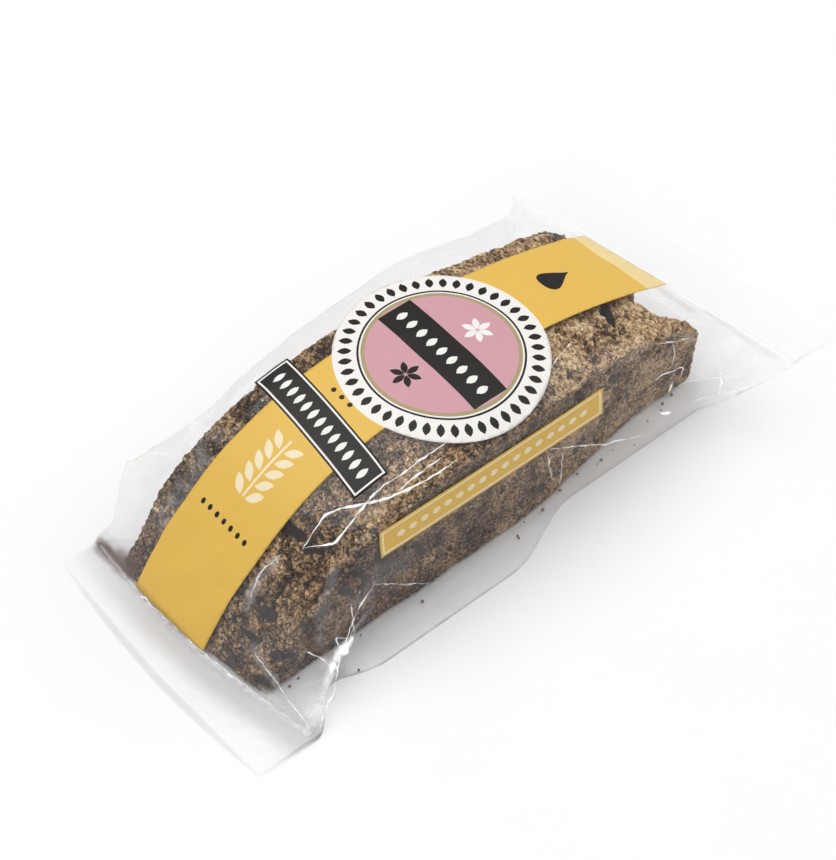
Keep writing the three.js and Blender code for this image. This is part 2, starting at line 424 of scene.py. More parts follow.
# The two biscotti: long slices of a low loaf, cut faces to the front and rear, crust on the arch.
slices = {
    "ends": (-55.7, 50.9),
    "front": {"front": -17.3, "rear": 0.7, "taper": 1, "lean": 1.2, "lift": 0, "short": 3.2, "seed": 11},
    "rear": {"front": 1.3, "rear": 21.0, "taper": 0, "lean": 0, "lift": 2.4, "short": 0, "seed": 47},
    "taper": (0, 40, 4.8),  # the front slice's foot draws in between these places, by so much
    "belly": (2.2, 9.5, 5),  # and its side stands out near the far end: how far, at Z, reach
    "bellyFrom": (38, 47),
    "liftTo": (-46, -24),  # the rear slice's near corner is lifted as far as here
    "shortFrom": (25, 50),  # the front slice's far end is "short" by so much, and lower
    "lowerFrom": (45.5, 50),
    "height": 29,
    "footZ": 0.35,
    "leastZ": 1.3,  # of the top
    "lowestTop": 0.9,  # and where the film comes down on it
    "side": 9,  # depth behind the front face that lean, taper and belly reach
    "underFilm": 0.9,
    "clearOfFilm": 0.42,
    "edgeRound": 2.8,
    "footRound": 0.9,
    "endRound": (1.6, 3.2),  # near, far
    "roundSteps": 8,
    "stations": 140,
    "voxel": 0.33,
    "lumps": (0.5, 0.34),  # height of the broad and the smaller lumps
    "grain": (0.36, 0.62),  # on the cut faces, on the crust
    "crackDepth": 0.7,
    "chipSpacing": 8.2,
    "chipRadius": 1.6,
    "reliefWithin": (-3, 1.3),
    "cracks": [
        (1.3, 0.9, [(24.8, -4, 26.6), (27.8, -8, 25.7), (25.2, -12.4, 25.4), (28, -15, 22), (28, -15, 17)]),
        (1.4, 1.1, [(36, -3.5, 23.5), (35.3, -10.9, 23.8)]),
        (1, 0.9, [(17.7, -12, 27), (18.3, -15.4, 24.2), (22, -15, 17)]),
        (0.9, 0.8, [(-41, -15.6, 15), (-35, -15.8, 19), (-27, -15.4, 22)]),
    ],
    "dents": [(1.2, 5, [(47, -3, 17), (46, -7, 17)])],
    "chips": [
        (1, 1.8, [(-36.8, -3.5, 20.5), (-36.1, -6.5, 20.5)]),
        (1, 1.3, [(-36.4, -8.8, 19.6), (-34.8, -10.1, 19.9), (-32.9, -11.8, 20.8)]),
        (1, 1.3, [(-27.3, -15.4, 23.2), (-26.5, -16.5, 22)]),
        (1, 1.5, [(-26.9, -16.5, 17.4), (-25.4, -16.7, 13.8)]),
        (1, 1.2, [(-18.9, -16.5, 14.1), (-17.4, -16.8, 10.8)]),
        (1, 1.5, [(-32.6, -16.5, 17.8), (-30.4, -16.6, 14.4)]),
        (1, 1.1, [(-35.4, -16.6, 15.8), (-33.8, -16.7, 12.6)]),
        (1, 1.5, [(-47, -7.9, 11), (-45.8, -11.2, 10.8)]),
        (1, 1.4, [(-50.2, -8.4, 7.3), (-49.7, -10.9, 7.1)]),
        (1, 1.5, [(-49.4, -14.9, 6.8), (-47.9, -16.2, 6.9), (-45.3, -16.5, 6)]),
        (1, 1.3, [(-52.5, -14.4, 3.1), (-51.8, -16.6, 2.5)]),
        (1, 1.5, [(37.6, -2, 23.4), (35.5, -6.2, 23.8)]),
        (1, 1.3, [(28, -15, 21), (30, -15, 18)]),
        (1, 1.6, [(33, -14.5, 12), (34.5, -14.5, 9)]),
    ],
}


def taperAt(x):
    start, end, amount = slices["taper"]
    return amount * ease(x, start, end)


def sliceSection(spec, x):
    start, end = slices["ends"]
    nearRound, farRound = slices["endRound"]
    inside, bend = min((x - start, nearRound), (end - x, farRound))
    short = max(0.0, bend - inside)
    inset = bend - math.sqrt(max(0.0, bend**2 - short**2))
    low = slices["footZ"]
    high = max(slices["leastZ"], crownAt(x) - slices["underFilm"] - 0.8 * inset * (x > 0))
    front, rear = spec["front"] + inset, spec["rear"] - inset
    edge = min(slices["edgeRound"], (high - low) * 0.45, (rear - front) * 0.4)
    foot = min(slices["footRound"], (high - low) * 0.4)
    ring = []
    for y, z, turn, radius in (
        (rear - edge, high - edge, 0, edge),
        (front + edge, high - edge, 90, edge),
        (front + foot, low + foot, 180, foot),
        (rear - foot, low + foot, 270, foot),
    ):
        for step in range(slices["roundSteps"] + 1):
            angle = math.radians(turn + 90 * step / slices["roundSteps"])
            ring.append((y + radius * math.cos(angle), z + radius * math.sin(angle)))
    y, z = np.array(ring).T
    share = np.clip((z - low) / slices["height"], 0, 1)
    towardsFront = 1 - ease(y, front, front + slices["side"])
    y = y + spec["lean"] * share * towardsFront
    y = y + spec["taper"] * taperAt(x) * mix(1, 0.45, share) * towardsFront
    z = z + spec["lift"] * (1 - ease(x, *slices["liftTo"])) * ease(y, 13, 19) * share * 2
    out, at, reach = slices["belly"]
    belly = np.exp(-(((z - at) / reach) ** 2)) * ease(x, *slices["bellyFrom"])
    y = y - spec["taper"] * out * belly * towardsFront
    z = z - 0.7 * spec["short"] * ease(x, *slices["lowerFrom"]) * share
    ceiling = np.interp(y, *topLine(x).T) - slices["underFilm"]
    return y, np.minimum(z, np.maximum(ceiling, slices["lowestTop"]))


def sliceShell(spec):
    rings = []
    for x in np.linspace(*slices["ends"], slices["stations"]):
        y, z = sliceSection(spec, x)
        missing = spec["short"] * mix(0.3, 1, ease(y, -13, -8.5))  # more of it behind
        rings.append(np.column_stack([leaned(x, y) - missing * ease(x, *slices["shortFrom"]), y, z]))
    return stitched(np.array(rings))


def stitched(rings):
    count = rings.shape[1]
    points = rings.reshape(-1, 3)
    faces = []
    for r in range(len(rings) - 1):
        for k in range(count):
            a, b = r * count + k, r * count + (k + 1) % count
            faces.append((a, b, b + count, a + count))
    for ring, flip in ((0, True), (len(rings) - 1, False)):
        points = np.vstack([points, rings[ring].mean(0)])
        middle = len(points) - 1
        for k in range(count):
            a, b = ring * count + k, ring * count + (k + 1) % count
            faces.append((middle, b, a) if flip else (middle, a, b))
    return points, faces


def grainField(points, size, shift):
    spots = points / size + shift
    return np.array([noise.voronoi(Vector(p))[0][0] for p in spots])


def crumbRelief(places, crust, shift):
    large, small = slices["lumps"]
    broad = noiseAt(places, 13, shift) * large + noiseAt(places, 5.5, shift) * small
    clumps = noiseAt(places, 2.4, shift + 4)
    coarse = 0.42 - grainField(places, 1.35, shift)
    fine = 0.42 - grainField(places, 0.85, shift + 5)
    sandy = noiseAt(places, 0.7, shift + 7)
    pebbly = ease(noiseAt(places, 8, shift + 11), -0.25, 0.3)  # rough patches among sandy ones
    grain = 0.2 * clumps + (0.42 * coarse + 0.7 * fine) * mix(0.35, 1.1, pebbly) + 0.6 * sandy
    crack = np.abs(noiseAt(places, 9, shift + 9) + 0.35 * noiseAt(places, 2.6, shift))
    crack = (1 - ease(crack, 0.02, 0.08)) * ease(noiseAt(places, 13, shift + 3), 0, 0.3)
    pits = ease(noiseAt(places, 1.7, shift + 1), 0.28, 0.55)
    onCut = 0.5 * broad + grain * slices["grain"][0] - pits * 0.5 - crack * 0.3
    onCrust = broad + grain * slices["grain"][1] - crack * slices["crackDepth"] - pits * 0.3
    return broad, mix(onCut, onCrust, crust)


def roughSlice(name, spec, finish, filmTree):
    points, faces = sliceShell(spec)
    piece = meshPiece(name, points, faces, [finish])
    modified(piece, "REMESH", mode="VOXEL", voxel_size=slices["voxel"] * millimetre, use_smooth_shade=True)
    mesh = piece.data
    count = len(mesh.vertices)
    places, normals = np.zeros(count * 3), np.zeros(count * 3)
    mesh.vertices.foreach_get("co", places)
    mesh.vertex_normals.foreach_get("vector", normals)
    places = places.reshape(-1, 3) / millimetre
    normals = normals.reshape(-1, 3)
    crust = np.clip(ease(normals[:, 2], 0.1, 0.6) + ease(np.abs(normals[:, 0]), 0.45, 0.8), 0, 1)
    broad, height = crumbRelief(places, crust, spec["seed"])
    chipSpot = grainField(places, slices["chipSpacing"], spec["seed"] + 2) * slices["chipSpacing"]
    chipEdge = slices["chipRadius"] * (0.7 + 0.9 * noiseAt(places, 3, spec["seed"] + 6))
    chip = 1 - ease(chipSpot, chipEdge - 0.4, chipEdge + 0.3)
    warped = places - layoutToPart + 1.1 * noiseVectors(places, 2.1, spec["seed"])
    chip = np.maximum(chip, ease(alongRuns(warped, slices["chips"]), 0.35, 0.65))
    height = mix(height, 0.5 * broad + 0.35 * (height - broad) - 0.2, chip * 0.8)
    dent = alongRuns(warped, slices["dents"])
    height = height - alongRuns(warped, slices["cracks"]) - dent
    flat = ease(-normals[:, 2], 0.6, 0.95)
    height = np.clip(height * (1 - 0.8 * flat), *slices["reliefWithin"])
    room = roomUnder(filmTree, places, normals)
    moved = places + normals * np.minimum(height, room)[:, None]
    moved[:, 2] = np.maximum(moved[:, 2], 0.12)
    mesh.vertices.foreach_set("co", (moved * millimetre).ravel())
    mesh.update()
    # relief: height of the crumb over its broad lumps; the finish makes hollows and cracks darker by it,
    # partly the crumb's own colour and partly painted shade
    keepOnPoints(piece, "relief", np.clip(0.5 + (height + dent - broad) * 0.75, 0, 1))
    keepOnPoints(piece, "crust", crust)
    keepOnPoints(piece, "chip", chip)
    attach(piece, "root")
    return piece


# How far each point of a slice can rise before it comes too near the film.
def roomUnder(filmTree, places, normals):
    room = np.full(len(places), 9.0)
    for i, (place, normal) in enumerate(zip(places - layoutToPart, normals)):
        if normal[2] > -0.5:
            hit, _, _, gap = filmTree.find_nearest(Vector(place), 3.0)
            if hit is not None:
                room[i] = gap - slices["clearOfFilm"]
    return room


def biscuitFinish():
    finish = Finish("bakedBiscuit")
    relief = finish.kept("relief")
    crust = finish.kept("crust")
    chip = finish.kept("chip")
    speckle = finish.noise(0.4, 3, 0.75)
    patch = finish.noise(5, 3)
    pebble = finish.cells(0.95, "Red")
    sandGrain = finish.cells(0.42, "Green")
    alongPart = finish.add("SeparateXYZ", {}, {"Vector": finish.place}, "X")
    acrossPart = finish.add("SeparateXYZ", {}, {"Vector": finish.place}, "Y")
    paintedFarLight = finish.step(alongPart, -0.05, 0.05) - 0.5  # painted light: lighter towards the far end
    browner = finish.step(acrossPart, -0.004, 0.01)  # the rear slice
    mottle = (sandGrain - 0.5) * 0.55 + (speckle - 0.5) * 1.5 + (patch - 0.5) * 1.1
    # hollows and cracks darker, peaks lighter: partly the crumb's own colour, partly painted shade in the
    # hollows
    tone = 0.52 - browner * 0.08 + (relief - 0.5) * 0.6 + mottle + (pebble - 0.5) * 0.35 + paintedFarLight * 0.26
    crustColour = finish.ramp(tone, [
        (0.05, (38, 28, 23)),
        (0.3, (98, 74, 53)),
        (0.52, (152, 120, 86)),
        (0.74, (194, 161, 118)),
        (0.97, (230, 206, 166)),
    ])
    # the cut faces get the same painted far-end light and partly painted shade in the hollows
    cutTone = 0.54 + (relief - 0.5) * 0.65 + mottle + paintedFarLight * 0.3
    cutColour = finish.ramp(cutTone, [
        (0.08, (32, 23, 18)),
        (0.36, (84, 62, 46)),
        (0.6, (130, 101, 74)),
        (0.95, (202, 170, 130)),
    ])
    baked = finish.blend(cutColour, crustColour, crust)
    chipTone = finish.ramp(speckle, [(0.3, (24, 19, 18)), (0.75, (62, 52, 46))])
    dark = finish.step(chip, 0.35, 0.75)
    return finish.surface({
        "Base Color": finish.blend(baked, chipTone, dark),
        "Roughness": 0.8 - dark * 0.2,
        "Normal": finish.bump(finish.noise(0.3, 3, 0.7) + speckle, 0.7, 0.35),
        "Specular IOR Level": 0.35,
    })


# Thin crinkled clear film.
film = {
    "reflect": 0.028,  # share of light that a flat-on layer sends back
    "haze": 0.012,
    "slackHaze": 0.06,
    "crinkle": 0.55,  # height of the crinkles where the film is slack
    "earCrinkle": 1.0,
    "tight": 0.1,  # and where it lies on the crust
    "inward": 0.28,  # no crinkle goes deeper
    "onCrust": (17, 20),  # reach of the tight film from its middle line
    "onCrustEnds": (-50, -42, 42, 48),
    "farDroop": 1.6,
    "finWave": (0.12, 0.7),  # near, far
    "nearFin": (12, 7.2),  # depth at its front and rear end
    "farFin": (11, 11),
    "nearFinThick": (1, 0.1),  # how much of it shows, at the seal and at the edge
    "nearFinRear": 0.45,  # and at its rear end
    "farFinThick": (0.55, 0.2),
    "farSlack": 0.15,
    "slackShade": (226, 226, 228),
    "paintedReflectionShadeColour": (96, 76, 62),  # painted reflection of the biscuit in folds, and painted shade near the seams and the ear
}

# Where the film carries painted light: painted sheen where folds would catch the light, and painted
# reflections of the biscuit and painted shade near the seams and the ear. Each run is a strength, a radius
# and the run's corners.
veils = {
    "sheen": [
        (1.0, 0.9, [(-38.4, -22.8, 9.9), (-39.9, -23.1, 9.8), (-42.3, -23.3, 8.7)]),
        (0.5, 1.1, [(-42.9, -23.5, 8.3), (-44.3, -24.3, 7.4), (-47.4, -25.9, 5.1)]),
        (0.4, 1.6, [(-48.2, -26.1, 4.2), (-50.3, -26.8, 2.7), (-52, -27.4, 1.2)]),
        (0.2, 2.4, [(-43, -21.4, 6), (-47, -24, 4), (-51, -26, 1.5)]),
        (0.16, 1.5, [(-48.3, -6.2, 10.8), (-46.3, -5.5, 13), (-43.6, -5.6, 15.7), (-41.3, -6.1, 17.7)]),
        (0.1, 1.3, [(-42.8, -19.7, 10.5), (-40.7, -17.7, 14.6), (-36, -15.3, 19.5)]),
        (0.06, 4, [(-40, -19, 13.4), (-35.9, -19.4, 15), (-29.5, -18.2, 14.5), (-23.5, -17.6, 12.9)]),
        (0.13, 3.4, [(-48.5, 16.3, 12.6), (-45.4, 16.3, 15.7), (-42, 16.4, 18.5), (-39.3, 17, 20.7)]),
        (0.16, 1.4, [(-51, -11.9, 6.5), (-51.4, -14.2, 5.3), (-51.5, -18, 4.2)]),
        (0.22, 1.2, [(-53.5, -16.7, 2.1), (-53, -21, 2), (-52.3, -25.6, 1.5)]),
        (0.3, 0.8, [(-56.4, 26, 1), (-57.2, 12, 1), (-56.4, -4, 1), (-54.6, -16, 1), (-52.6, -28, 1)]),
        (0.3, 1.3, [(47, -2.7, 20.4), (46.8, -6.9, 20.9), (48.1, -14.7, 20.8)]),
        (0.12, 2.5, [(48, -20, 14), (50, -22, 8), (52, -25, 12)]),
    ],
    "tinge": [
        (1, 2.2, [(-56, 26.4, 0.9), (-55.9, 23, 1.2)]),
        (1, 3.4, [(-55.2, 20.8, 1.6), (-54.6, 18.6, 2.4)]),
        (0.13, 6, [(-57.4, 25, 0.3), (-58, 10, 0.3), (-57, -8, 0.3), (-54, -22, 0.3), (-53, -28, 0.3)]),
        (0.16, 5, [(-50, -21, 1.5), (-42, -21, 2)]),
        (0.5, 1.2, [(-44.1, -18.8, 10.8), (-43.5, -20.4, 9.6), (-42.7, -22.2, 8.9)]),
        (0.4, 1, [(-37.8, -19.7, 14.2), (-38.6, -21.2, 11.8), (-39.1, -22.4, 10.6)]),
        (0.16, 1.5, [(49.8, -4.4, 19.3), (49.7, -8.1, 19.9), (50.1, -11.4, 19.7)]),
        (0.1, 1.3, [(52.6, -13, 18.7), (53, -17.6, 18.9), (54.8, -28.7, 18.7)]),
    ],
}


def filmFinish():
    finish = Finish("clearFilm")
    edgeOn = finish.add("LayerWeight", {}, {"Blend": 0.5}, "Facing")
    mirror = film["reflect"] + edgeOn**5 * (0.5 - film["reflect"])
    slack = finish.kept("slack")
    cloud = finish.noise(6, 3, 0.55)
    sheen = finish.kept("sheen")
    tinge = finish.kept("tinge")
    facet = finish.cells(1.2, "Red")
    # painted highlight: white veils on the film where folds would catch the lamps
    glare = sheen * (0.3 + cloud * 0.5 + finish.step(facet, 0.3, 0.7) * 0.5)
    haze = film["haze"] * (0.4 + cloud) + slack * film["slackHaze"] * (0.5 + cloud)
    # painted reflection of the biscuit and painted shade darken the film here
    dark = tinge * 0.7
    body = finish.blend(paint(252, 252, 252), paint(*film["slackShade"]), slack)
    body = finish.blend(body, paint(255, 255, 255), glare / (glare + haze))
    body = finish.blend(body, paint(*film["paintedReflectionShadeColour"]), dark / (dark + glare + haze))
    opacity = mirror + haze + glare + dark
    return finish.surface({
        "Base Color": body,
        "Metallic": mirror / opacity,
        "Roughness": 0.07 + cloud * 0.08,
        "Alpha": opacity * finish.kept("thick"),
        "Normal": finish.bump(finish.noise(2.2), 0.25, 0.3),
    })


def ridges(points, size, shift):  # 0 in the hollows, 1 along sharp crests
    return 1 - np.abs(noiseAt(points, size, shift)) * 2.2


def gridNormals(rings):
    along = np.gradient(rings, axis=0)
    around = np.roll(rings, -1, axis=1) - np.roll(rings, 1, axis=1)
    normals = np.cross(along, around)
    return normals / np.maximum(np.linalg.norm(normals, axis=2, keepdims=True), 1e-9)


finShares = np.array([*np.linspace(0.04, 0.96, 24), 0.99, 1.0])


# The flat band of film outside a seal.
def finRings(ring, direction, depths, wave, droop, seed):
    rings = []
    middleZ = ring[:, 2].mean()
    depth = np.interp(ring[:, 1], (ring[:, 1].min(), ring[:, 1].max()), depths)
    for share in finShares:
        moved = ring.copy()
        moved[:, 0] += direction * depth * share
        ripple = noiseAt(moved * (1, 1, 0), 9, seed)
        closeness = mix(1, mix(0.3, 0.06, share), ease(share, 0, 0.22))
        lift = wave * (0.3 + ripple) * share**1.3 - droop * share**1.6
        moved[:, 2] = middleZ + (ring[:, 2] - middleZ) * closeness + lift
        moved[:, 2] = np.maximum(moved[:, 2], offTable + (ring[:, 2] > middleZ) * 0.05)
        rings.append(moved)
    return rings


def underStrip(x, z, front):  # 1 where the film is held flat by the strip
    middle, _, length, *_ = label["strip"]
    left, right = middle - length / 2, middle + length / 2
    along = ease(x, left - 3, left) * (1 - ease(x, right, right + 3))
    return front * along * ease(z, 11, 15) * (1 - ease(z, 25, 28))


def makeFilm(finish):
    flat = smoothFilm.reshape(-1, 3)
    normals = gridNormals(smoothFilm).reshape(-1, 3)
    x, y, z = flat.T
    section = unleaned(x, y)
    near, nearFull, farFull, far = film["onCrustEnds"]
    overCrust = (1 - ease(np.abs(y - bag["middleY"]), *film["onCrust"])) * ease(normals[:, 2], 0.2, 0.7)
    slack = 1 - overCrust * ease(section, near, nearFull) * (1 - ease(section, farFull, far))
    front = ease(-normals[:, 1], 0.3, 0.7)
    ear = (1 - ease(section, -36, -26)) * ease(z, 0.5, 3) * (1 - ease(y, -20, -16))
    drawn = flat * (0.55, 1, 1)
    crest = ridges(drawn, 8.5, 3) + 0.45 * ridges(drawn, 3.6, 8)
    pulled = ridges(flat * (1, 1, 0.3), 4.5, 15)  # upright pleats in the front wall
    crest = mix(crest - 0.55, 0.5 * (pulled - 0.4), front * (1 - ear))
    seam = ease(np.minimum(section - nearX, farX - section), 0, 5)
    onTable = 1 - ease(z, 0.3, 2.5)
    amount = mix(mix(film["tight"], film["crinkle"], slack), film["earCrinkle"], ear)
    amount = amount * seam * (1 - 0.85 * onTable) * (1 - 0.9 * underStrip(x, z, front))
    flat = flat + normals * np.maximum(amount * crest, -film["inward"])[:, None]
    flat[:, 2] = np.maximum(flat[:, 2], offTable)
    rings = flat.reshape(smoothFilm.shape)
    nearFin = finRings(rings[0], -1, film["nearFin"], film["finWave"][0], 0, 21)[::-1]
    farFin = finRings(rings[-1], 1, film["farFin"], film["finWave"][1], film["farDroop"], 33)
    points, faces = stitched(np.concatenate([nearFin, rings, farFin]))
    count = rings.shape[1]
    first = len(nearFin) * count
    last = first + len(slack)
    slackness = np.full(len(points), film["farSlack"])
    slackness[:first] = 1
    slackness[first:last] = slack * (1 - 0.8 * ease(section, 44, 51)) * (1 - 0.6 * front * (1 - onTable))
    thickness = np.full(len(points), film["farFinThick"][1])
    towardsFront = mix(film["nearFinRear"], 1, ease(-rings[0][:, 1], -26, -4))
    thickness[:first] = np.outer(mix(*film["nearFinThick"], finShares)[::-1], towardsFront).ravel()
    thickness[first:last] = 1
    thickness[last:last + first] = np.repeat(mix(*film["farFinThick"], finShares), count)
    piece = meshPiece("filmPack", points, faces, [finish])
    keepOnPoints(piece, "slack", slackness)
    keepOnPoints(piece, "thick", thickness)
    for name, runs in veils.items():
        keepOnPoints(piece, name, alongRuns(points, runs))
    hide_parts("film_bag")
    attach(piece, "root")
    return points, faces


# Sharp pinched folds with a painted glint, white and glowing a little where the lamps would shine in them:
# width, shine and corners, moved on to the film.
creases = {
    "height": 0.4,  # share of the width
    "profile": ((-1, 0.1), (-0.5, 0.6), (0, 1), (0.5, 0.6), (1, 0.1), (0, -0.1)),
    "wander": ((0.2, 1.7), (0.12, 0.6)),  # how far, over which size
    "runs": [
        (0.46, 1, [(-37.3, -8.6, 20.5), (-35.1, -8.3, 22), (-31.7, -7.5, 24.2), (-29.3, -9, 25.1),
                   (-25.5, -11.5, 26.1), (-21.9, -13.5, 26.7), (-15, -15, 27.3), (-8.8, -15.3, 27.9)]),
        (0.4, 1, [(-37.4, -8.5, 20.6), (-33.3, -12.4, 22.1), (-30.6, -12.1, 23.8), (-26.2, -11.5, 25.9),
                   (-23, -11.1, 27), (-16.7, -11.8, 28.2), (-14, -11.7, 28.7), (-6, -12.1, 29.1)]),
        (0.3, 0.9, [(-21.9, -13.5, 26.7), (-16.7, -13.4, 28), (-9.7, -13.6, 28.6)]),
        (0.32, 0.8, [(16.5, -10.7, 28.6), (20.3, -9.3, 28.3), (23.9, -8.2, 27.7)]),
        (0.35, 0.5, [(10.6, -17.4, 16.9), (16, -17.4, 13.6), (24.2, -17.6, 7.8), (33.8, -18.4, 3.2)]),
        (0.3, 0.4, [(10.6, -17.4, 16.3), (11.1, -17.6, 10.9), (12.1, -17.6, 5.1)]),
        (0.3, 0.4, [(14.1, -17.4, 13.6), (13.8, -17.4, 8.4), (13.2, -17.5, 4.1)]),
        (0.4, 0.5, [(-47.1, -6, 11.9), (-45.3, -5.2, 13.9), (-43.5, -4.9, 15.8), (-40.5, -6.2, 18.5)]),
        (0.4, 0.45, [(-51.4, -12.2, 6), (-51.4, -17.8, 4.4), (-51.7, -24.1, 2.9), (-52.2, -29, 1)]),
        (0.35, 0.7, [(-51.7, -29.4, 0.9), (-46, -26.6, 5), (-41.4, -23.5, 9), (-36, -20.5, 12.6)]),
        (0.3, 0.6, [(-36, -20.5, 12.6), (-33, -19.4, 14), (-30, -18.3, 15)]),
        (0.3, 0.5, [(-41.4, -23.5, 9), (-40, -20.6, 9.5), (-37, -19.6, 8), (-34.5, -18.6, 10)]),
        (0.3, 0.4, [(-43.3, -24.2, 7), (-39.5, -22, 7), (-38.2, -20.4, 5.5)]),
        (0.3, 0.4, [(-29.7, -18.3, 13.2), (-23.7, -17.9, 7.5), (-17.2, -18, 2.7)]),
        (0.3, 0.7, [(-45.7, -19.6, 9.9), (-44.6, -21, 8.9), (-43.8, -22.6, 8.1)]),
        (0.25, 0.6, [(-35.9, -19.7, 14.8), (-36.7, -21.1, 12.4), (-37.5, -22.4, 10)]),
        (1.5, 1, [(-38, -22.6, 10.2), (-39.9, -23, 9.8), (-41.9, -23.2, 8.9)]),
        (1.1, 1, [(-43, -23.6, 8.3), (-44.6, -24.5, 7.1)]),
        (0.45, 1, [(48.5, -22, 13.2), (49.1, -21.9, 9.7), (49.3, -21.4, 5.6)]),
        (0.9, 1, [(37.6, -17.9, 6.2), (40.5, -18.2, 4.1)]),
        (0.35, 1, [(50.2, -22.4, 5.9), (51.8, -24.6, 8.4), (53.3, -26.7, 10.6)]),
        (0.45, 0.9, [(40.8, -17.6, 12.1), (39.5, -17.8, 10.4)]),
        (0.3, 0.4, [(36.7, -15, 23.4), (42.8, -16.4, 21.3), (44.7, -17, 21)]),
        (0.25, 0.5, [(40.9, -16, 21.8), (41.3, -16.9, 19), (40.2, -17.3, 16.3)]),
        (0.25, 0.6, [(35.4, -17.5, 16.6), (39.5, -17.4, 15.6), (43.3, -17.8, 14.9), (42.4, -17.6, 11.9)]),
        (0.3, 0.5, [(45, -18.8, 4), (50, -21.5, 5), (53.5, -25, 8), (56, -29, 13)]),
        (0.25, 0.4, [(40.7, -17.8, 9), (44.5, -18.5, 10.5), (49, -20.5, 11), (53, -25, 14)]),
        (0.25, 0.4, [(51.8, -4, 18.4), (53.2, -12, 18.4), (55, -21, 18.6), (56.6, -29, 18.6)]),
        (0.35, 0.6, [(-50.2, 25, 18), (-49.6, 23.9, 21.6), (-45, 23.2, 21.7), (-42.4, 21.5, 21)]),
        (0.35, 0.7, [(-56.1, 27, 1), (-57, 12, 1), (-56.1, -4, 1), (-54.3, -16, 1), (-52.2, -28, 1)]),
    ],
}


def paintedGlintFinish():
    finish = Finish("foldPaintedGlint")
    cloud = finish.noise(1.1, 3)
    return finish.surface({
        # painted highlight: the folds are white
        "Base Color": finish.blend(paint(255, 255, 255), paint(246, 246, 248), cloud),
        "Roughness": 0.15 + cloud * 0.15,
        "Alpha": (finish.step(cloud, 0.3, 0.6) * 0.6 + 0.35) * finish.kept("shine"),
        "Emission Color": finish.blend(paint(255, 255, 255), paint(236, 236, 240), cloud),
        "Emission Strength": 0.3,  # painted glare of the lamps: the folds glow though they are no lamp
        "Normal": finish.bump(finish.noise(0.8, 2), 0.3, 0.2),
    })


def creaseRings(tree, width, corners, seed):
    path = pathThrough(corners)
    for out, size in creases["wander"]:
        path = path + out * noiseVectors(path, size, seed)
    along = np.linspace(0, 1, len(path))
    spread = np.sin(np.pi * along) ** 0.45 * (0.8 + 1.3 * noiseAt(path, 1.8, seed + 7))
    spread = np.maximum(spread, 0.12)
    rings = []
    for place, tangent, share in zip(path, np.gradient(path, axis=0), spread):
        hit, normal, _, _ = tree.find_nearest(Vector(place))
        outward = Vector(place) - Vector((place[0], bag["middleY"], 10))
        normal = np.array(normal if normal.dot(outward) > 0 else -normal)
        side = np.cross(normal, tangent)
        side = side / np.linalg.norm(side) * share * width / 2
        rise = normal * creases["height"] * share * width
        rings.append([np.array(hit) + side * across + rise * up for across, up in creases["profile"]])
    return np.array(rings)


def makeCreases(tree, finish):
    points, faces, shine = [], [], []
    for seed, (width, glow, corners) in enumerate(creases["runs"]):
        ownPoints, ownFaces = stitched(creaseRings(tree, width, corners, seed * 3))
        faces += [tuple(k + len(points) for k in face) for face in ownFaces]
        points += ownPoints.tolist()
        shine += [glow] * len(ownPoints)
    piece = meshPiece("filmCreases", points, faces, [finish])
    keepOnPoints(piece, "shine", shine)
    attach(piece, "root")


# Printed labels, cut as flat artwork and then laid on the film.
label = {
    "bandY": 6,
    "bandWidth": 18.6,
    "thinEnd": (5.2, 3),  # pale end of the band, at its front and rear side: painted light, where the white table would shine through the thin band past the biscuits' end
    "badge": (3.4, 3.1, 19.2),  # x, y, radius
    "plate": (-22, 5.4, 7, 30.6, -0.08),  # x, y, width, length, turn
    "strip": (-1.9, 20.7, 50.8, 6.4, -0.02),  # x, z, length, width, turn
    "stripFaceY": -16.95,
    "proud": 0.16,
    "thickness": 0.1,
    "spacing": 0.85,  # of the sheet's points
    "printY": 6.4,  # middle line of the small prints on the band
    "drop": (33.2, 6.6, 7.6, 0.12),  # x, width, length, turn
    "wreath": (44, 17),  # leaves, radius
    "rings": ((14.9, "black"), (14.5, "white"), (14.2, "gold"), (13.5, "pink")),
    "bar": (7.4, 26.2),
    "flower": (8.2, 1.6),  # from the middle, radius
    "frames": ((0, "black"), (-0.7, "white"), (-1.35, "black")),
    "sprig": (-37.5, 2.2, 2.1),  # start, gap, half width
}
inks = {
    "yellow": (227, 184, 84),
    "pale": (236, 212, 152),
    "black": (27, 24, 22),
    "white": (238, 235, 230),
    "pink": (205, 154, 162),
    "gold": (168, 152, 113),
    "cream": (242, 226, 190),
}


def inkFinish(name, colour):
    finish = Finish("ink_" + name)
    fibre = finish.noise(0.9, 3, 0.6)
    cloud = finish.noise(5, 2)
    worn = finish.step(fibre, 0.25, 0.8) * 0.1 + cloud * 0.06
    grey = paint(*[min(255, c * 0.93 + 16) for c in colour])
    return finish.surface({
        "Base Color": finish.blend(paint(*colour), grey, worn * 3),
        "Roughness": 0.42 + fibre * 0.16,
        "Normal": finish.bump(fibre + cloud, 0.2, 0.12),
        "Specular IOR Level": 0.3,
        "Coat Weight": 0.05,
        "Coat Roughness": 0.2,
    })


def turned(points, angle, x, y):
    across, up = np.asarray(points, float).T
    c, s = math.cos(angle), math.sin(angle)
    return np.column_stack([across * c - up * s + x, across * s + up * c + y])


def rectangle(x, y, width, height, angle=0.0):
    corners = np.array([[-1, -1], [1, -1], [1, 1], [-1, 1]]) * (width / 2, height / 2)
    return turned(corners, angle, x, y)


def disc(x, y, radius, count=96):
    angles = np.arange(count) * 2 * np.pi / count
    return np.column_stack([x + radius * np.cos(angles), y + radius * np.sin(angles)])


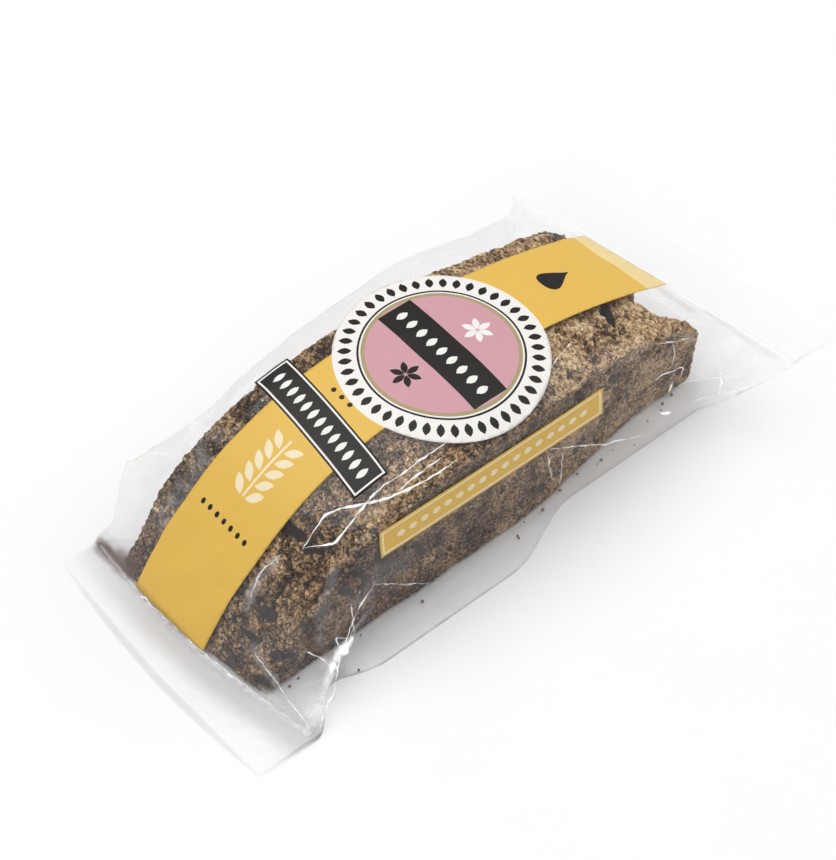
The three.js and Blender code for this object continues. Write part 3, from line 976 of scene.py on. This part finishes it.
def leaf(x, y, length, width, angle, count=7):
    along = np.linspace(-1, 1, count)
    bulge = (1 - along**2) * width / 2
    edge = np.column_stack([along * length / 2, bulge])
    return turned(np.vstack([edge, (edge * (1, -1))[-2:0:-1]]), angle, x, y)


def drop(x, y, width, length, angle):  # round at the bottom, drawn out to a tip
    turn = np.linspace(0, 2 * np.pi, 28, endpoint=False)
    narrow = (0.5 - 0.5 * np.cos(turn)) ** 1.25
    edge = np.column_stack([np.cos(turn) * length / 2, np.sin(turn) * narrow * width * 0.62])
    return turned(edge, angle, x, y)


def within(loop, x, y):
    inside = np.zeros(len(x), bool)
    for (x0, y0), (x1, y1) in zip(loop, np.roll(loop, -1, axis=0)):
        if y0 == y1:
            continue
        inside ^= ((y0 > y) != (y1 > y)) & (x < (x1 - x0) * (y - y0) / (y1 - y0) + x0)
    return inside


# Cuts the sheet into triangles along every mark. Each takes the ink of the last mark that holds it.
def cutArtwork(outlines, marks):
    spacing = label["spacing"]
    rim = np.vstack(outlines)
    columns, rows = (np.arange(a, b + spacing, spacing) for a, b in zip(rim.min(0), rim.max(0)))
    grid = np.array([(x, y + (i % 2) * spacing / 2) for i, x in enumerate(columns) for y in rows])
    holds = np.any([within(loop, *grid.T) for loop in outlines], axis=0)
    points = [Vector(p) for p in grid[holds]]
    edges = []
    for loop in outlines + [loop for loop, _ in marks]:
        start = len(points)
        for a, b in zip(loop, np.roll(loop, -1, axis=0)):
            parts = max(1, int(np.linalg.norm(b - a) / spacing))
            points += [Vector(mix(a, b, i / parts)) for i in range(parts)]
        count = len(points) - start
        edges += [(start + i, start + (i + 1) % count) for i in range(count)]
    flat, _, triangles, *_ = geometry.delaunay_2d_cdt(points, edges, [], 0, 1e-4)
    flat = np.array([tuple(p) for p in flat])
    triangles = np.array(triangles)
    cx, cy = flat[triangles].mean(1).T
    kept = np.any([within(loop, cx, cy) for loop in outlines], axis=0)
    names = list(inks)
    ink = np.zeros(len(triangles), int)
    for loop, name in marks:
        ink[within(loop, cx, cy)] = names.index(name)
    triangles, ink = triangles[kept], ink[kept]
    used, index = np.unique(triangles, return_inverse=True)
    return flat[used], index.reshape(-1, 3), ink


def laidOn(tree, starts, direction):
    places = []
    for start in starts:
        hit, normal, _, _ = tree.ray_cast(Vector(start), Vector(direction))
        if hit is None:
            hit, normal, _, _ = tree.find_nearest(Vector(start))
        if normal.dot(Vector(direction)) > 0:
            normal = -normal
        places.append(hit + normal * label["proud"])
    return np.array(places)


def labelPiece(name, node, points, triangles, ink, finishes):
    piece = meshPiece(name, points, triangles.tolist(), finishes, ink)
    modified(piece, "SOLIDIFY", thickness=label["thickness"] * millimetre, offset=-1)
    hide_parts(node)
    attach(piece, "root")


def bandOutline():
    sides = (label["bandY"] - label["bandWidth"] / 2, label["bandY"] + label["bandWidth"] / 2)
    ys = np.linspace(*sides, 14)
    near, far = sealLines(ys)
    return np.vstack([np.column_stack([near + 0.25, ys])[::-1], np.column_stack([far - 0.3, ys])])


def evenTurns(count):
    return [2 * math.pi * i / count for i in range(count)]


def frontMarks():
    ys = np.linspace(-4, 16, 10)
    far = sealLines(ys)[1]
    inner = far - np.linspace(*label["thinEnd"], len(ys))
    middle = label["printY"]
    x, width, length, angle = label["drop"]
    marks = [
        # painted light: the band's end, paler where light from the table would shine through it
        (np.vstack([np.column_stack([inner, ys]), np.column_stack([far + 1, ys])[::-1]]), "pale"),
        (drop(x, middle, width, length, angle), "black"),
    ]
    x, y, radius = label["badge"]
    count, reach = label["wreath"]
    marks.append((disc(x, y, radius), "white"))
    for a in evenTurns(count):
        marks.append((leaf(x + reach * math.cos(a), y + reach * math.sin(a), 2.6, 1.5, a, 5), "black"))
    marks += [(disc(x, y, size), name) for size, name in label["rings"]]
    marks.append((rectangle(x, y, *label["bar"]), "black"))
    marks += [(leaf(x, y + step * 2.7, 2.6, 1.5, 0, 5), "white") for step in range(-4, 5)]
    away, size = label["flower"]
    for side, name in ((-1, "black"), (1, "white")):
        for a in evenTurns(6):
            spot = (x + side * away + size * math.cos(a), y + size * math.sin(a))
            marks.append((leaf(*spot, 2.8, 1.3, a), name))
    x, y, width, length, angle = label["plate"]
    for grow, name in label["frames"]:
        marks.append((rectangle(x, y, width + grow, length + grow, angle), name))
    for step in range(-6, 7):
        marks.append((leaf(*turned([[0, step * 2.1]], angle, x, y)[0], 2.7, 1.2, angle, 5), "white"))
    start, gap, out = label["sprig"]
    for step in range(5):
        for side in (-1, 1):
            spot = (start + step * gap, middle + side * out)
            marks.append((leaf(*spot, 3.6, 1.5, side * 0.95), "cream"))
    marks.append((rectangle(-33, middle, 11, 0.45), "cream"))
    marks += [(disc(-42.8, middle + step * 1.9, 0.45, 10), "black") for step in range(-3, 4)]
    marks += [(disc(-16.2, 6.6 + step * 2.2, 0.5, 10), "black") for step in (-1, 0, 1)]
    return marks


def stripMarks():
    x, z, length, width, angle = label["strip"]
    marks = []
    for grow, name in ((-0.9, "cream"), (-1.7, "yellow")):
        marks.append((rectangle(x, z, length + grow, width + grow, angle), name))
    for step in range(-8, 9):
        marks.append((leaf(*turned([[step * 2.6, 0]], angle, x, z)[0], 1.9, 1.5, angle, 5), "cream"))
    return marks


def makeLabels(tree):
    finishes = [inkFinish(name, colour) for name, colour in inks.items()]
    outlines = [bandOutline(), disc(*label["badge"]), rectangle(*label["plate"])]
    flat, triangles, ink = cutArtwork(outlines, frontMarks())
    places = laidOn(tree, np.insert(flat, 2, 60, axis=1), (0, 0, -1))
    labelPiece("frontLabel", "front_label", places, triangles, ink, finishes)
    flat, triangles, ink = cutArtwork([rectangle(*label["strip"])], stripMarks())
    places = laidOn(tree, np.insert(flat, 1, -60, axis=1), (0, 1, 0))
    places[:, 1] = np.minimum(places[:, 1], label["stripFaceY"])
    labelPiece("sideLabel", "side_label", places, triangles, ink, finishes)


# Loose crumbs that have fallen round the feet of the slices.
crumbs = {
    "count": 24,
    "sizes": (0.14, 0.36),
    "uneven": (0.75, 1.2),
    "alongX": (-50, 46),
    "inFront": 0.8,  # share of them that lies before the front slice
    "rearY": (21.0, 21.2),
    "seed": 5,
}


def makeCrumbs(finish):
    chance = random.Random(crumbs["seed"])
    points, faces = [], []
    for _ in range(crumbs["count"]):
        x = chance.uniform(*crumbs["alongX"])
        side = chance.random()
        frontY = mix(-17.8 + taperAt(x), footAt(x) + 0.9, chance.random() ** 2)
        y = frontY if side < crumbs["inFront"] else chance.uniform(*crumbs["rearY"])
        size = chance.uniform(*crumbs["sizes"])
        start = len(points)
        for z, count in ((-1, 1), (-0.45, 5), (0.45, 5), (1, 1)):
            reach = math.sqrt(max(0, 1 - z * z))
            for k in range(count):
                angle = 2 * math.pi * (k + (z > 0) * 0.5) / count
                grow = size * chance.uniform(*crumbs["uneven"])
                along, across = reach * math.cos(angle) * grow, reach * math.sin(angle) * grow
                points.append([x + along, y + across, size + 0.1 + z * grow * 0.8])
        for k in range(5):
            a, b = start + 1 + k, start + 1 + (k + 1) % 5
            faces += [(start, b, a), (a, b, a + 5), (b, b + 5, a + 5), (start + 11, a + 5, b + 5)]
    piece = meshPiece("looseCrumbs", np.array(points), faces, [finish], smooth=False)
    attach(piece, "root")


def crumbFinish():
    finish = Finish("looseCrumb")
    tone = finish.noise(1.4, 2) * 0.8 + finish.noise(0.4, 3) * 0.4 - 0.1
    colour = finish.ramp(tone, [
        (0.3, (84, 62, 48)),
        (0.6, (142, 106, 76)),
        (0.85, (190, 156, 116)),
    ])
    return finish.surface({
        "Base Color": colour,
        "Roughness": 0.85,
        "Normal": finish.bump(finish.noise(0.3, 2), 0.5, 0.2),
    })


def makeStage():
    finish = Finish("paleTable")
    grain = finish.noise(30, 3)
    table = finish.surface({
        "Base Color": finish.blend(paint(248, 248, 249), paint(245, 245, 246), grain),
        "Roughness": 0.75,
    })
    reach = studio["floorWidth"] / 2
    mesh = bpy.data.meshes.new("table")
    corners = [(-reach, -reach, 0), (reach, -reach, 0), (reach, reach, 0), (-reach, reach, 0)]
    mesh.from_pydata(corners, [], [(0, 1, 2, 3)])
    mesh.materials.append(table)
    floor = placed("table", mesh)


def makeLights():
    world = bpy.data.worlds.new("whiteRoom")
    bpy.context.scene.world = world
    world.use_nodes = True
    background = world.node_tree.nodes["Background"]
    background.inputs["Color"].default_value = (1, 1, 1, 1)
    background.inputs["Strength"].default_value = studio["surroundings"]
    for name in ("overhead", "key", "fill"):
        spec = studio[name]
        lamp = bpy.data.lights.new(name, "AREA")
        lamp.shape = "SQUARE"
        lamp.size = spec["size"]
        lamp.energy = spec["power"]
        light = placed(name, lamp)
        light.location = spec["at"]
        light.rotation_euler = (-Vector(spec["at"])).to_track_quat("-Z", "Y").to_euler()


def makeCamera():
    azimuth, elevation = math.radians(view["azimuth"]), math.radians(view["elevation"])
    level = math.cos(elevation)
    back = Vector((math.sin(azimuth) * level, -math.cos(azimuth) * level, math.sin(elevation)))
    lens = bpy.data.cameras.new("camera")
    lens.lens = view["lens"]
    lens.clip_start = 0.01
    camera = placed("camera", lens)
    camera.location = (Vector(view["lookAt"]) + back * view["distance"]) * millimetre
    camera.rotation_mode = "QUATERNION"
    camera.rotation_quaternion = (-back).to_track_quat("-Z", "Y")
    bpy.context.scene.camera = camera


makeCamera()
makeLights()
makeStage()
bpy.context.scene.view_settings.view_transform = "Standard"
print("stage, lights and camera ready")

biscuit = biscuitFinish()
smoothTree = treeOf(*stitched(smoothFilm))
for which in ("front", "rear"):
    made = roughSlice(which + "Slice", slices[which], biscuit, smoothTree)
    print(which, "slice:", len(made.data.polygons), "faces")
makeCrumbs(crumbFinish())
print("crumbs scattered")

filmPoints, filmFaces = makeFilm(filmFinish())
print("film:", len(filmFaces), "faces")
filmTree = treeOf(filmPoints, filmFaces)
makeCreases(filmTree, paintedGlintFinish())
print("folds pinched in the film")
makeLabels(filmTree)
print("labels laid on the film")
